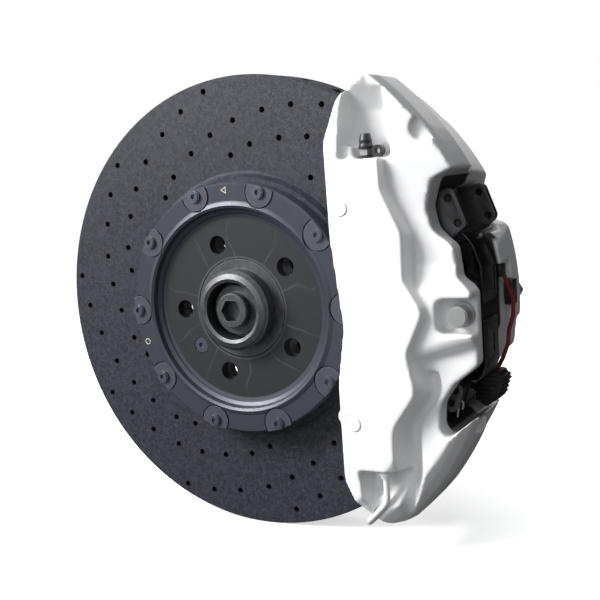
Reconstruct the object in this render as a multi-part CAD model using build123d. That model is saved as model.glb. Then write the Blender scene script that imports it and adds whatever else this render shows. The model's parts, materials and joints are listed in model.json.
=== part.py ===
"""Brake caliper with disc: a fixed eight-piston caliper over a bolted carbon-ceramic disc on its hub.

Millimetres. The origin is the centre of the wheel mounting face, on the axis of rotation. -Y points
outboard (to the wheel), +Y inboard, +Z up, and the caliper's middle lies on +X.
"""

import os
from math import cos, radians, sin

from build123d import *

# ---------------------------------------------------------------- driving dimensions
DISC_R = 190.0
DISC_THICKNESS = 38.0
DISC_MID_Y = 34.5
DISC_BORE_R = 86.0
PLATE_THICKNESS = 11.5
SHOULDER_R = 110.0
SHOULDER_RISE = 8.0
COLLAR_R = 112.5
VANE_CHANNELS = 40
CHANNEL_WIDTH = 10.0
DRILLED_ROWS = 10
DRILLED_R = 2.5
ROW_SWEEP = (0.0, 8.7, 17.6, 27.8, 37.1, 46.6, 57.8, 66.2)

CLAMP_COUNT = 10
CLAMP_PCR = 99.2
CLAMP_START_DEG = 0.65
CLAMP_HOLE_R = 3.3
WASHER_R = 12.0
POCKET_R = 13.4
WASHER_SEAT_Y = -6.0
WASHER_FACE_Y = -7.6

BELL_RIM_R = 104.0
BELL_FLANGE_Y = -7.0
BELL_BORE_R = 41.5
BELL_PLATE = 8.0

WHEEL_PCD = 112.0
WHEEL_BOLTS = 5
WHEEL_START_DEG = 37.1
BELL_BOLT_R = 7.75
HUB_THREAD_R = 7.0
PILOT_R = 33.2
PILOT_LENGTH = 12.0
HUB_FLANGE_R = 72.0
HUB_FLANGE_BACK_Y = 22.0
HUB_BARREL_R = 31.5
HUB_BORE_R = 14.0
SCREW_PCR = 54.0
SCREW_DEG = 216.5

BALL_R = 5.5
BALL_PITCH_R = 42.0
BALLS_PER_ROW = 12
BALL_ROWS_Y = (40.0, 58.0)
RACE_CLEARANCE = 0.05
BEARING_FRONT_Y = 31.0
BEARING_BACK_Y = 67.0
CARRIER_BOLT_PCR = 62.0

FACE_Y = -40.5
INBOARD_FACE_Y = 109.5
SLOT_R = 193.5
SLOT_HALF = 22.0
POCKET_HALF = 39.0

PAD_ANGLE = 20.0
PAD_HALF_WIDTH = 40.5
PAD_INNER_U = 122.0
PAD_OUTER_U = 185.0
LINING_THICKNESS = 12.0
BACKING_THICKNESS = 6.0
PAD_GAP = 0.5

PISTON_PCR = 150.0
PISTON_DEG = (11.4, 28.6)
PISTON_RADII = (17.0, 15.0)
PISTON_LENGTH = 22.0
BORE_DEPTH = 28.0
FIT_CLEARANCE = 0.05

BRIDGE_BOLT_X = 199.3
BRIDGE_BOLT_SEAT_Y = -19.0
BOSS_BACK_Y = -9.5
TONGUE_FRONT_Y = 0.0
PORT_X = 136.5
PORT_DEPTH = 11.5
PASSAGE_R = 1.6
PIPE_R = 2.4
PIPE_BEND_R = 12.0
SHELF_TOP_Z = 115.5
SHELF_BOTTOM_Z = -117.0

FACE_PLUGS = [(116.5, 80.5), (116.5, -80.5)]
FACE_PLUG_R = 5.6
LUG_SPACING = 210.0
LUG_FACE_X = 138.0
LUG_BOLT_R = 7.25
LUG_Y = INBOARD_FACE_Y + 12.0
INLET_X = 147.7
INLET_R = 4.3
INLET_DEPTH = 14.0

SHEET = 1.4
LEAD_R = 1.7
LEAD_BEND_R = 9.0
LEAD_ROUTE = [
    (208.2, 46.0, 23.0), (210.5, 52.0, 13.0), (214.3, 54.0, 0.0), (213.3, 54.0, -13.0),
    (209.6, 54.0, -24.0), (208.4, 54.0, -35.0), (204.0, 54.0, -46.0), (197.5, 54.0, -58.0),
]

SIDES = {"outboard": 1.0, "inboard": -1.0}
LEVELS = {"upper": 1.0, "lower": -1.0}


# ---------------------------------------------------------------- helpers
def across(y):
    """A plane across the axis at y, seen from outboard: local x is X and local y is Z."""
    return Plane(origin=(0, y, 0), x_dir=(1, 0, 0), z_dir=(0, -1, 0))


def slab(sketch, y_front, y_back):
    """A flat outline in X and Z, given thickness from y_front to y_back."""
    return extrude(across(y_back) * sketch, amount=y_back - y_front)


def turned(points):
    """A solid of revolution about the axis from (radius, y) points."""
    return revolve(make_face(Polyline(*points, close=True)), axis=Axis.Y)


def tube(outer_r, inner_r, y_front, y_back):
    """A plain ring about the axis."""
    return turned([(inner_r, y_front), (outer_r, y_front), (outer_r, y_back), (inner_r, y_back)])


def rod(radius, x, z, y_front, y_back):
    """A cylinder parallel to the axis."""
    return slab(Pos(x, z) * Circle(radius), y_front, y_back)


def upright(radius, x, y, z_low, z_high):
    """A cylinder standing along Z."""
    return extrude(Plane(origin=(x, y, z_low)) * Circle(radius), amount=z_high - z_low)


def polar(radius, degrees):
    """X and Z of a point at a radius and an angle from +X towards +Z."""
    return radius * cos(radians(degrees)), radius * sin(radians(degrees))


def rounded(corners):
    """A closed outline from (x, z, corner radius) triples."""
    points = [(x, z) for x, z, _ in corners]
    radii = [radius for _, _, radius in corners]
    return make_face(FilletPolyline(*points, radius=radii, close=True))


def around(shape, count, start=0.0):
    """Copies of a shape at equal turns about the axis."""
    return [Rot(0, -(start + 360.0 / count * i), 0) * shape for i in range(count)]


def flipped(shape):
    """The same shape on the other side of the disc's middle."""
    return mirror(shape, about=Plane.XZ.offset(-DISC_MID_Y))


def write(name, *solids):
    """One node's file, from one solid or a group of separate ones."""
    flat = [solid for shape in solids for solid in shape.solids()]
    node = flat[0] if len(flat) == 1 else Compound(children=flat)
    export_step(node, f"parts/{name}.step")
    volume = sum(solid.volume for solid in flat)
    print(f"{name:26s} solids {len(flat):3d}  volume {volume:12.1f}")


# ---------------------------------------------------------------- disc, bell and clamps
def disc_casting():
    """Two friction plates joined by vanes, with a stepped clamping shoulder inside."""
    front = DISC_MID_Y - DISC_THICKNESS / 2
    back = DISC_MID_Y + DISC_THICKNESS / 2
    bevel = 1.0
    body = turned([
        (DISC_BORE_R, front - SHOULDER_RISE), (SHOULDER_R - 2.5, front - SHOULDER_RISE),
        (SHOULDER_R, front - 2.0), (COLLAR_R, front), (DISC_R - bevel, front),
        (DISC_R, front + bevel), (DISC_R, back - bevel), (DISC_R - bevel, back),
        (SHOULDER_R, back), (SHOULDER_R - 2.0, back - 4.0), (DISC_BORE_R, back - 4.0),
    ])
    gap_low = front + PLATE_THICKNESS
    gap_high = back - PLATE_THICKNESS
    channel = slab(Pos((DISC_R + 125.0) / 2 + 2.0, 0) * Rectangle(DISC_R - 121.0, CHANNEL_WIDTH),
                   gap_low, gap_high)
    mouth = tube(DISC_R - 58.0, DISC_BORE_R - 1.0, gap_low, gap_high)
    posts = around(rod(9.0, CLAMP_PCR, 0, gap_low, gap_high), CLAMP_COUNT, CLAMP_START_DEG)
    drilled = []
    for row in range(DRILLED_ROWS):
        outer = DISC_R - 8.0 - 4.0 * (row % 2)
        start = 27.6 + 36.0 * row
        for step, sweep in enumerate(ROW_SWEEP):
            x, z = polar(outer - 8.0 * step, start + sweep)
            drilled.append(rod(DRILLED_R, x, z, front - 1.0, back + 1.0))
    through = around(rod(CLAMP_HOLE_R, CLAMP_PCR, 0, -5.0, 60.0), CLAMP_COUNT, CLAMP_START_DEG)
    body -= around(channel, VANE_CHANNELS)
    body -= mouth - posts
    return body - drilled - through


def disc_parts():
    """The disc's two bonded pieces: the drilled friction ring and the clamping collar inside it."""
    casting = disc_casting()
    collar_zone = rod(COLLAR_R, 0, 0, -20.0, 80.0)
    return casting - collar_zone, casting & collar_zone


def bell():
    """The disc carrier: clamping flange, recess wall and flat face for the wheel."""
    back = DISC_MID_Y - DISC_THICKNESS / 2 - SHOULDER_RISE
    body = turned([
        (BELL_BORE_R, 0.0), (75.5, 0.0), (78.0, -0.6), (79.2, -2.0), (82.0, -3.5), (83.4, -7.4),
        (85.5, -8.5), (88.0, -7.6), (89.0, BELL_FLANGE_Y), (BELL_RIM_R - 1.5, BELL_FLANGE_Y),
        (BELL_RIM_R, -5.0), (BELL_RIM_R, back), (84.0, back), (82.0, back + 3.0),
        (78.0, BELL_PLATE), (BELL_BORE_R, BELL_PLATE),
    ])
    pocket = rod(POCKET_R, CLAMP_PCR, 0, -20.0, WASHER_SEAT_Y)
    hole = rod(CLAMP_HOLE_R, CLAMP_PCR, 0, -20.0, 30.0)
    bolts = rod(BELL_BOLT_R, WHEEL_PCD / 2, 0, -5.0, 12.0)
    x, z = polar(SCREW_PCR, SCREW_DEG)
    screw = rod(3.3, x, z, -5.0, 12.0) + rod(6.6, x, z, -5.0, 3.4)
    body -= around(pocket, CLAMP_COUNT, CLAMP_START_DEG)
    body -= around(hole, CLAMP_COUNT, CLAMP_START_DEG)
    body -= around(bolts, WHEEL_BOLTS, WHEEL_START_DEG)
    return body - screw


def clamp_washer():
    """A round washer with its outer side cut flush with the flange edge."""
    outline = Pos(CLAMP_PCR, 0) * (Circle(WASHER_R) - Circle(CLAMP_HOLE_R))
    washer = slab(outline, WASHER_FACE_Y, WASHER_SEAT_Y)
    return washer & tube(BELL_RIM_R - 0.2, 70.0, -20.0, 20.0)


def clamp_bolt():
    """A button head screw with a six-lobed socket, its shank through bell and disc."""
    head = rod(5.2, CLAMP_PCR, 0, WASHER_FACE_Y - 1.8, WASHER_FACE_Y)
    head += rod(4.2, CLAMP_PCR, 0, WASHER_FACE_Y - 2.6, WASHER_FACE_Y - 1.8)
    shank = rod(CLAMP_HOLE_R - 0.3, CLAMP_PCR, 0, WASHER_FACE_Y, 57.0)
    socket = RegularPolygon(2.3, 6) + Rot(0, 0, 30) * RegularPolygon(2.3, 6)
    return head + shank - slab(Pos(CLAMP_PCR, 0) * socket, -20.0, WASHER_FACE_Y - 0.8)


def clamp_nut():
    """A flanged hexagon nut on the back of the disc's clamping shoulder."""
    seat = DISC_MID_Y + DISC_THICKNESS / 2 - 4.0
    nut = slab(Pos(CLAMP_PCR, 0) * RegularPolygon(5.0, 6), seat + 1.2, seat + 6.0)
    nut += rod(6.6, CLAMP_PCR, 0, seat, seat + 1.2)
    return nut - rod(CLAMP_HOLE_R - 0.3, CLAMP_PCR, 0, 0.0, 80.0)


# ---------------------------------------------------------------- hub, bearing and shaft
def hub():
    """Wheel hub: pilot spigot, bolted flange and the barrel that the bearing sits on."""
    body = turned([
        (24.0, -15.5), (26.5, -16.5), (30.5, -15.0), (PILOT_R, -PILOT_LENGTH),
        (PILOT_R, 0.0), (BELL_BORE_R - 0.9, 0.0), (BELL_BORE_R - 0.2, 0.7), (BELL_BORE_R - 0.2, BELL_PLATE),
        (HUB_FLANGE_R, BELL_PLATE), (HUB_FLANGE_R, 18.0), (46.0, HUB_FLANGE_BACK_Y),
        (38.5, HUB_FLANGE_BACK_Y), (38.5, BEARING_FRONT_Y), (HUB_BARREL_R, BEARING_FRONT_Y),
        (HUB_BARREL_R, BEARING_BACK_Y), (HUB_BORE_R, BEARING_BACK_Y), (HUB_BORE_R, 2.0),
        (24.0, 2.0),
    ])
    threads = rod(HUB_THREAD_R, WHEEL_PCD / 2, 0, 0.0, 30.0)
    x, z = polar(SCREW_PCR, SCREW_DEG)
    return body - around(threads, WHEEL_BOLTS, WHEEL_START_DEG) - rod(3.0, x, z, 0.0, 30.0)


def disc_screw():
    """The countersunk screw that holds the bell on the hub without a wheel."""
    x, z = polar(SCREW_PCR, SCREW_DEG)
    screw = rod(6.2, x, z, 0.6, 3.4) + rod(3.0, x, z, 3.4, 18.0)
    return screw - slab(Pos(x, z) * RegularPolygon(2.6, 6), -1.0, 2.6)


def axle_bolt():
    """The central bolt: collar, round head with a hexagon socket, and threaded shank."""
    body = turned([
        (0.0, -15.5), (13.4, -15.5), (14.5, -14.4), (14.5, -7.5), (20.0, -7.5), (21.0, -6.5),
        (21.0, 2.0), (8.0, 2.0), (8.0, 40.0), (0.0, 40.0),
    ])
    socket = RegularPolygon(17.0 / 2, 6, major_radius=False)
    return body - slab(socket, -20.0, -7.0)


def axle_stub():
    """The drive shaft's stub in the hub, with the thread for the axle bolt."""
    body = turned([(8.0, 14.0), (HUB_BORE_R, 14.0), (HUB_BORE_R, BEARING_BACK_Y), (30.0, BEARING_BACK_Y),
                   (30.0, 74.0), (26.0, 78.0), (0.0, 78.0), (0.0, 44.0), (8.0, 44.0)])
    return body


def inner_race(row_y):
    """One bearing inner ring with its ball groove."""
    low, high = (BEARING_FRONT_Y, 49.0) if row_y < 49.0 else (49.0, BEARING_BACK_Y)
    groove = revolve(Pos(BALL_PITCH_R, row_y) * Circle(BALL_R + RACE_CLEARANCE), axis=Axis.Y)
    return tube(BALL_PITCH_R - 2.5, HUB_BARREL_R, low, high) - groove


def bearing_housing():
    """Bearing outer ring with the flange that bolts to the wheel carrier."""
    body = turned([
        (BALL_PITCH_R + 2.5, BEARING_FRONT_Y), (52.0, BEARING_FRONT_Y), (52.0, 44.0), (71.0, 44.0),
        (71.0, 54.0), (54.0, 54.0), (54.0, BEARING_BACK_Y), (BALL_PITCH_R + 2.5, BEARING_BACK_Y),
    ])
    for row_y in BALL_ROWS_Y:
        body -= revolve(Pos(BALL_PITCH_R, row_y) * Circle(BALL_R + RACE_CLEARANCE), axis=Axis.Y)
    return body - around(rod(6.2, CARRIER_BOLT_PCR, 0, 40.0, 60.0), 4, 45.0)


def bearing_ball(row_y):
    """One ball on the pitch circle."""
    return Pos(BALL_PITCH_R, row_y, 0) * Sphere(BALL_R)


def bearing_cage(row_y, inward):
    """The crown-shaped ring that spaces a row of balls, solid on its inward side."""
    low, high = sorted((row_y - inward * 3.4, row_y + inward * 7.4))
    ring = tube(BALL_PITCH_R + 1.4, BALL_PITCH_R - 1.4, low, high)
    window = Plane(origin=(BALL_PITCH_R - 8.0, row_y, 0), z_dir=(1, 0, 0)) * Circle(BALL_R + 0.15)
    return ring - around(extrude(window, amount=16.0), BALLS_PER_ROW)


def bearing_seals():
    """The two seals that close the bearing, fixed in its housing."""
    outer = BALL_PITCH_R + 2.5
    inner = BALL_PITCH_R - 2.5 + 0.3
    return [tube(outer, inner, BEARING_FRONT_Y, BEARING_FRONT_Y + 1.4),
            tube(outer, inner, BEARING_BACK_Y - 1.4, BEARING_BACK_Y)]


# ---------------------------------------------------------------- caliper body
def outboard_outline():
    """The outboard half from the side: two end lobes, two window dips and the bridge boss."""
    return rounded([
        (113.0, -8.0, 24.0), (106.0, 62.0, 60.0), (105.5, 128.0, 26.0), (119.0, 160.0, 20.0),
        (139.0, 174.5, 12.0), (162.0, 175.0, 2.0), (232.0, 118.0, 2.0), (204.0, 106.0, 6.0),
        (184.5, 98.0, 8.0), (178.5, 78.0, 10.0), (182.0, 61.0, 12.0), (197.0, 50.0, 9.0),
        (199.5, 27.0, 5.0), (210.5, 17.0, 4.0), (210.5, -36.0, 5.0),
        (205.0, -41.0, 5.0), (191.5, -51.0, 12.0), (180.0, -67.0, 12.0), (178.5, -84.0, 6.0),
        (184.5, -92.0, 4.0), (205.0, -76.0, 6.0), (214.0, -86.0, 8.0), (186.0, -122.0, 60.0),
        (164.0, -146.0, 40.0), (147.0, -163.0, 10.0), (132.5, -163.0, 8.0),
        (113.5, -142.0, 24.0), (105.5, -124.0, 18.0), (105.5, -52.0, 40.0),
    ])


def inboard_outline():
    """The inboard half: the same lobes, with a wider step beside the bridge."""
    return rounded([
        (106.0, 0.0, 40.0), (105.5, 128.0, 26.0), (119.0, 160.0, 20.0), (139.0, 174.5, 12.0),
        (162.0, 175.0, 2.0), (232.0, 118.0, 2.0), (204.0, 106.0, 6.0), (184.5, 98.0, 8.0),
        (179.5, 80.0, 10.0), (183.0, 62.0, 10.0), (197.0, 57.0, 4.0), (209.0, 45.0, 5.0),
        (212.5, 20.0, 20.0), (215.0, -13.0, 4.0), (204.0, -20.0, 5.0), (201.0, -42.0, 5.0),
        (191.5, -51.0, 8.0), (180.0, -67.0, 12.0), (178.5, -84.0, 6.0), (184.5, -92.0, 4.0),
        (205.0, -76.0, 6.0), (214.0, -86.0, 8.0), (186.0, -122.0, 60.0), (164.0, -146.0, 40.0),
        (147.0, -163.0, 10.0), (132.5, -163.0, 8.0), (113.5, -142.0, 24.0), (105.5, -124.0, 18.0),
    ])


RIDGE = [
    (136.0, 184.0, 10.0), (147.0, 140.0, 24.0), (148.0, 92.0, 22.0), (162.5, 60.0, 18.0),
    (161.5, 27.0, 13.0), (175.5, 4.0, 12.0), (160.5, -27.0, 13.0), (166.5, -56.0, 14.0),
    (147.0, -83.0, 20.0), (146.0, -120.0, 24.0), (132.0, -184.0, 10.0),
]
RIDGE_SLOPE = 9.0
LEDGE_TILT = 16.5
LEDGE_PIVOT = (163.0, -31.0)


def ridge_outline(shift):
    """Everything outside the wavy ridge that bounds the piston housing, moved out by shift."""
    wave = [(x + shift, z, radius) for x, z, radius in RIDGE]
    return rounded(wave + [(282.0, -184.0, 1.0), (282.0, 184.0, 1.0)])


def height_profile(points):
    """The space in front of a (y, z) surface line that is the same at every X."""
    face = make_face(Polyline(*points, (-70.0, points[-1][1]), (-70.0, points[0][1]), close=True))
    return extrude(Plane.YZ.offset(90.0) * face, amount=170.0)


def outer_zone():
    """What is cut away outside the ridge: sloped lobes, the raised bridge boss, the low valley."""
    top = FACE_Y - 4.0
    bottom = -16.0
    wedge = loft([across(top) * ridge_outline(0.0), across(bottom) * ridge_outline(RIDGE_SLOPE)])
    beyond = loft([across(top) * ridge_outline(30.0), across(bottom) * ridge_outline(12.0)])
    upper = height_profile([
        (-39.5, 190.0), (-37.5, 150.0), (-33.0, 112.0), (-27.5, 74.0), (-26.0, 38.0), (-29.0, 24.0),
        (-33.5, 17.0), (-33.5, -14.0),
    ])
    ledge = height_profile([
        (-33.5, 2.0), (-33.5, -26.0), (-31.0, -31.0), (-24.0, -37.0), (-24.5, -80.0),
        (-29.0, -120.0), (-36.0, -160.0), (-38.0, -210.0),
    ])
    x, z = LEDGE_PIVOT
    ledge = Pos(x, 0, z) * Rot(0, -LEDGE_TILT, 0) * Pos(-x, 0, -z) * ledge
    ledge &= slab(Pos(180.0, -90.0) * Rectangle(200.0, 200.0), -80.0, 0.0)
    valley = (wedge - beyond) & slab(Pos(180.0, -110.0) * Rectangle(200.0, 136.0), -80.0, -17.0)
    return (wedge & (upper + ledge)) + valley


def shelf_recess(level):
    """A pocket above the bleed shelf or below the pipe shelf, which fades out at the lobe's end."""
    if level > 0:
        back = [(-16.5, SHELF_TOP_Z), (-25.0, 150.0), (FACE_Y - 0.5, 170.0)]
        inner = [(117.5, 108.0, 2.0), (124.0, 150.0, 6.0), (130.0, 176.0, 5.0), (143.0, 176.0, 5.0),
                 (147.0, 108.0, 2.0)]
        outer = [(116.0, 108.0, 2.0), (121.0, 150.0, 6.0), (130.0, 180.0, 5.0), (158.0, 180.0, 5.0),
                 (163.0, 108.0, 2.0)]
    else:
        back = [(-17.0, SHELF_BOTTOM_Z), (-21.0, -133.0), (FACE_Y - 0.5, -160.0)]
        inner = [(118.5, -108.0, 2.0), (124.0, -140.0, 6.0), (133.0, -168.0, 5.0), (150.0, -168.0, 5.0),
                 (150.0, -108.0, 2.0)]
        outer = [(116.5, -108.0, 2.0), (121.0, -140.0, 6.0), (130.0, -168.0, 5.0), (176.0, -168.0, 5.0),
                 (176.0, -108.0, 2.0)]
    wedge = height_profile(back)
    pocket = loft([across(FACE_Y - 5.0) * rounded(outer), across(-12.0) * rounded(inner)])
    return wedge & pocket


def local_box(level, u_low, u_high, t_low, t_high):
    """A rectangle in a pad's own directions: u outwards along the pad, t along the disc's turn."""
    rectangle = Pos((u_low + u_high) / 2, level * (t_low + t_high) / 2) * Rectangle(u_high - u_low, t_high - t_low)
    return Rot(0, 0, level * PAD_ANGLE) * rectangle


def ear_span(level):
    """Low t, high t and top u of a pad's ear, which is lower in the smaller window."""
    return (-13.5, 22.0, 209.5) if level > 0 else (-14.0, 12.0, 200.0)


def pad_pockets():
    """The space for the four pads, open to the disc, to the inside and to the windows."""
    spaces = []
    for level in LEVELS.values():
        clear = PAD_HALF_WIDTH + 0.6
        t_low, t_high, _ = ear_span(level)
        t_high += 1.0 if level > 0 else 7.0
        well = local_box(level, 90.0, 190.0, -clear, clear)
        gate = local_box(level, 180.0, 232.0, t_low - 5.0, t_high)
        spaces.append(slab(well, DISC_MID_Y - POCKET_HALF, DISC_MID_Y + POCKET_HALF))
        spaces.append(slab(gate, DISC_MID_Y - POCKET_HALF, DISC_MID_Y + POCKET_HALF))
    return spaces


def piston_places():
    """Name, level, radius and centre of the four pistons on one side."""
    places = []
    for level_name, level in LEVELS.items():
        for degrees, radius in zip(PISTON_DEG, PISTON_RADII):
            x, z = polar(PISTON_PCR, level * degrees)
            place = "inner" if radius == PISTON_RADII[0] else "outer"
            places.append((f"{level_name}_{place}", level, radius, x, z))
    return places


def port_y(side):
    """Y of the drilling that the bleed screw and the pipe screw into."""
    y = DISC_MID_Y - POCKET_HALF - BORE_DEPTH + 1.5
    return y if side > 0 else 2 * DISC_MID_Y - y


def outboard_bores():
    """Piston bores with their seal and boot grooves, the drilling that joins them and its ports."""
    mouth = DISC_MID_Y - POCKET_HALF
    cuts = []
    for _, _, radius, x, z in piston_places():
        cuts.append(rod(radius + FIT_CLEARANCE, x, z, mouth - BORE_DEPTH, mouth + 1.0))
        cuts.append(rod(radius + 3.0, x, z, mouth - 8.0, mouth - 4.4))
        cuts.append(rod(radius + 3.6, x, z, mouth - 2.2, mouth + 1.0))
    passage_y = port_y(1.0)
    cuts.append(upright(PASSAGE_R, PORT_X, passage_y, SHELF_BOTTOM_Z, SHELF_TOP_Z))
    for shelf, level in ((SHELF_TOP_Z, 1.0), (SHELF_BOTTOM_Z, -1.0)):
        low, high = sorted((shelf - level * PORT_DEPTH, shelf + level * 1.0))
        cuts.append(upright(4.0, PORT_X, passage_y, low, high))
    return cuts


def roof_limit():
    """The turned surface that the caliper's roof and ends stay inside."""
    return turned([
        (90.0, FACE_Y - 1.0), (222.5, FACE_Y - 1.0), (226.0, FACE_Y + 3.0), (226.5, -20.0), (224.5, 18.0),
        (213.5, 40.0), (207.5, 96.0), (200.5, INBOARD_FACE_Y + 1.0), (90.0, INBOARD_FACE_Y + 1.0),
    ])


def low_lobe_limit():
    """The rounder turned surface of the lower lobe, which has no sharp front edge."""
    rolled = turned([
        (90.0, FACE_Y - 1.0), (180.0, FACE_Y - 1.0), (188.0, -37.0), (197.0, -34.0), (205.0, -29.5),
        (211.5, -23.0), (216.5, -14.0), (219.5, -3.0), (221.0, 10.0), (219.0, 26.0), (213.5, 40.0),
        (213.5, INBOARD_FACE_Y + 1.0), (90.0, INBOARD_FACE_Y + 1.0),
    ])
    return rolled + Pos(150.0, 35.0, 75.0) * Box(220.0, 200.0, 300.0)


def mounting_lug(level):
    """One radial mounting lug on the inboard face, with its bolt hole along X."""
    z = level * LUG_SPACING / 2
    outline = rounded([(LUG_FACE_X, z - level * 17.0, 4.0), (LUG_FACE_X, z + level * 17.0, 4.0),
                       (153.0, z + level * 16.0, 6.0), (160.0, z - level * 16.0, 8.0)])
    return slab(outline, INBOARD_FACE_Y - 8.0, INBOARD_FACE_Y + 26.0)


def pipe_run(radius):
    """A round bar along the pipe's route: down from each port and across below the disc's edge."""
    front = port_y(1.0)
    back = port_y(-1.0)
    top = SHELF_BOTTOM_Z + 2.0
    route = FilletPolyline(
        (PORT_X, front, top), (PORT_X, front, -142.5), (116.5, front, -163.0),
        (116.5, back, -163.0), (PORT_X, back, -142.5), (PORT_X, back, top),
        radius=PIPE_BEND_R)
    section = Plane(origin=(PORT_X, front, top), z_dir=(0, 0, -1)) * Circle(radius)
    return sweep(section, path=route)


def caliper_body():
    """The one-piece body: two halves joined over the disc by a lobe at each end and a bridge."""
    front = slab(outboard_outline(), FACE_Y, DISC_MID_Y) - outer_zone()
    back = slab(inboard_outline(), DISC_MID_Y, INBOARD_FACE_Y)
    low_zone = loft([across(INBOARD_FACE_Y + 4.0) * ridge_outline(4.0),
                     across(INBOARD_FACE_Y - 12.0) * ridge_outline(12.0)])
    body = (front + (back - low_zone)) & roof_limit() & low_lobe_limit()
    for level in LEVELS.values():
        body += mounting_lug(level)
        body -= shelf_recess(level)
        body -= flipped(shelf_recess(level))
    block = rounded([(119.0, 110.0, 1.0), (119.0, 125.0, 2.0), (127.0, 125.0, 2.0), (127.0, 110.0, 1.0)])
    body += slab(block, -34.0, -14.0)
    body += rod(7.0, 108.5, -76.5, -37.0, -22.0)
    body -= pipe_run(PIPE_R + 0.9)
    body -= tube(SLOT_R, 60.0, DISC_MID_Y - SLOT_HALF, DISC_MID_Y + SLOT_HALF)
    for space in pad_pockets():
        body -= space
    for cut in outboard_bores():
        body -= cut
        body -= flipped(cut)
    body -= slab(Pos(214.0, -10.0) * Rectangle(16.4, 78.0), BOSS_BACK_Y, 68.0)
    hollow = Polygon((188.0, 58.0), (188.0, 31.0), (201.0, 21.0), (230.0, 21.0), (230.0, 58.0), align=None)
    body -= slab(hollow, BOSS_BACK_Y, 12.0)
    recess = rounded([(183.0, -12.5, 7.0), (183.0, 12.5, 7.0), (240.0, 12.5, 1.0), (240.0, -12.5, 1.0)])
    body -= slab(recess, -60.0, BRIDGE_BOLT_SEAT_Y)
    body -= rod(4.7, BRIDGE_BOLT_X, 0, -60.0, 130.0)
    body -= rod(9.6, BRIDGE_BOLT_X, 0, 100.0, 130.0)
    body -= rod(9.5, 182.0, 133.5, -60.0, -29.0)
    for x, z in FACE_PLUGS:
        seat = rod(FACE_PLUG_R, x, z, -60.0, FACE_Y + 3.0)
        body -= seat
        body -= flipped(seat)
    for level in LEVELS.values():
        z = level * LUG_SPACING / 2
        hole = Plane(origin=(100.0, LUG_Y, z), x_dir=(0, 1, 0), z_dir=(1, 0, 0))
        body -= extrude(hole * Circle(LUG_BOLT_R), amount=100.0)
        body -= Pos(191.0, LUG_Y, z) * Box(30.0, 27.0, 31.0)
    return body - rod(INLET_R, INLET_X, 0, INBOARD_FACE_Y - INLET_DEPTH, INBOARD_FACE_Y + 1.0)


# ---------------------------------------------------------------- caliper hardware
def face_plugs():
    """The round plugs that close the machining holes in both faces."""
    plugs = [rod(FACE_PLUG_R, x, z, FACE_Y - 0.4, FACE_Y + 3.0) for x, z in FACE_PLUGS]
    return plugs + [flipped(plug) for plug in plugs]


def bridge_bolt():
    """The long flanged bolt across the bridge, in the boss between the windows."""
    seat = BRIDGE_BOLT_SEAT_Y
    bolt = rod(9.2, BRIDGE_BOLT_X, 0, seat - 2.4, seat)
    bolt += rod(7.6, BRIDGE_BOLT_X, 0, seat - 13.0, seat - 2.4)
    bolt += rod(6.6, BRIDGE_BOLT_X, 0, seat - 14.0, seat - 13.0)
    return bolt + rod(4.4, BRIDGE_BOLT_X, 0, seat, 108.0)


def bridge_nut():
    """The nut on the bridge bolt's inboard end."""
    nut = slab(Pos(BRIDGE_BOLT_X, 0) * RegularPolygon(7.5, 6), 100.0, 107.0)
    return nut - rod(4.4, BRIDGE_BOLT_X, 0, 90.0, 130.0)


def piston(radius, x, z):
    """A cup piston, open towards the pad."""
    front = DISC_MID_Y - DISC_THICKNESS / 2 - PAD_GAP - LINING_THICKNESS - BACKING_THICKNESS - 0.1
    body = rod(radius, x, z, front - PISTON_LENGTH, front)
    return body - rod(radius - 3.5, x, z, front - PISTON_LENGTH + 4.0, front + 1.0)


def piston_seal(radius, x, z):
    """The square-section seal in the bore's groove."""
    mouth = DISC_MID_Y - POCKET_HALF
    outline = Pos(x, z) * (Circle(radius + 2.9) - Circle(radius + FIT_CLEARANCE))
    return slab(outline, mouth - 7.9, mouth - 4.5)


def piston_boot(radius, x, z):
    """The dust boot at the bore's mouth."""
    mouth = DISC_MID_Y - POCKET_HALF
    outline = Pos(x, z) * (Circle(radius + 3.5) - Circle(radius + 0.4))
    return slab(outline, mouth - 2.1, mouth - 0.1)


def pad_plate(level):
    """A backing plate with its ear, which has two dimples on each face."""
    back = DISC_MID_Y - DISC_THICKNESS / 2 - PAD_GAP - LINING_THICKNESS
    t_low, t_high, top_u = ear_span(level)
    half = PAD_HALF_WIDTH
    corners = [
        (PAD_INNER_U, -half, 2.0), (PAD_INNER_U, half, 2.0), (PAD_OUTER_U - 6.0, half, 4.0),
        (PAD_OUTER_U, t_high, 3.0), (top_u, t_high - 1.0, 6.0), (top_u, t_low + 4.0, 6.0),
        (PAD_OUTER_U, t_low - 4.0, 3.0), (PAD_OUTER_U, -half, 3.0),
    ]
    outline = rounded([(u, level * t, radius) for u, t, radius in corners])
    dimples = Sketch()
    for t in (t_low + 8.0, t_high - 8.0):
        dimples += Pos(top_u - 6.5, level * t) * Circle(2.8)
    turn = Rot(0, 0, level * PAD_ANGLE)
    front = back - BACKING_THICKNESS
    plate = slab(turn * outline, front, back)
    plate -= slab(turn * dimples, front - 1.0, front + 2.5)
    return plate - slab(turn * dimples, back - 2.5, back + 1.0)


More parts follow.
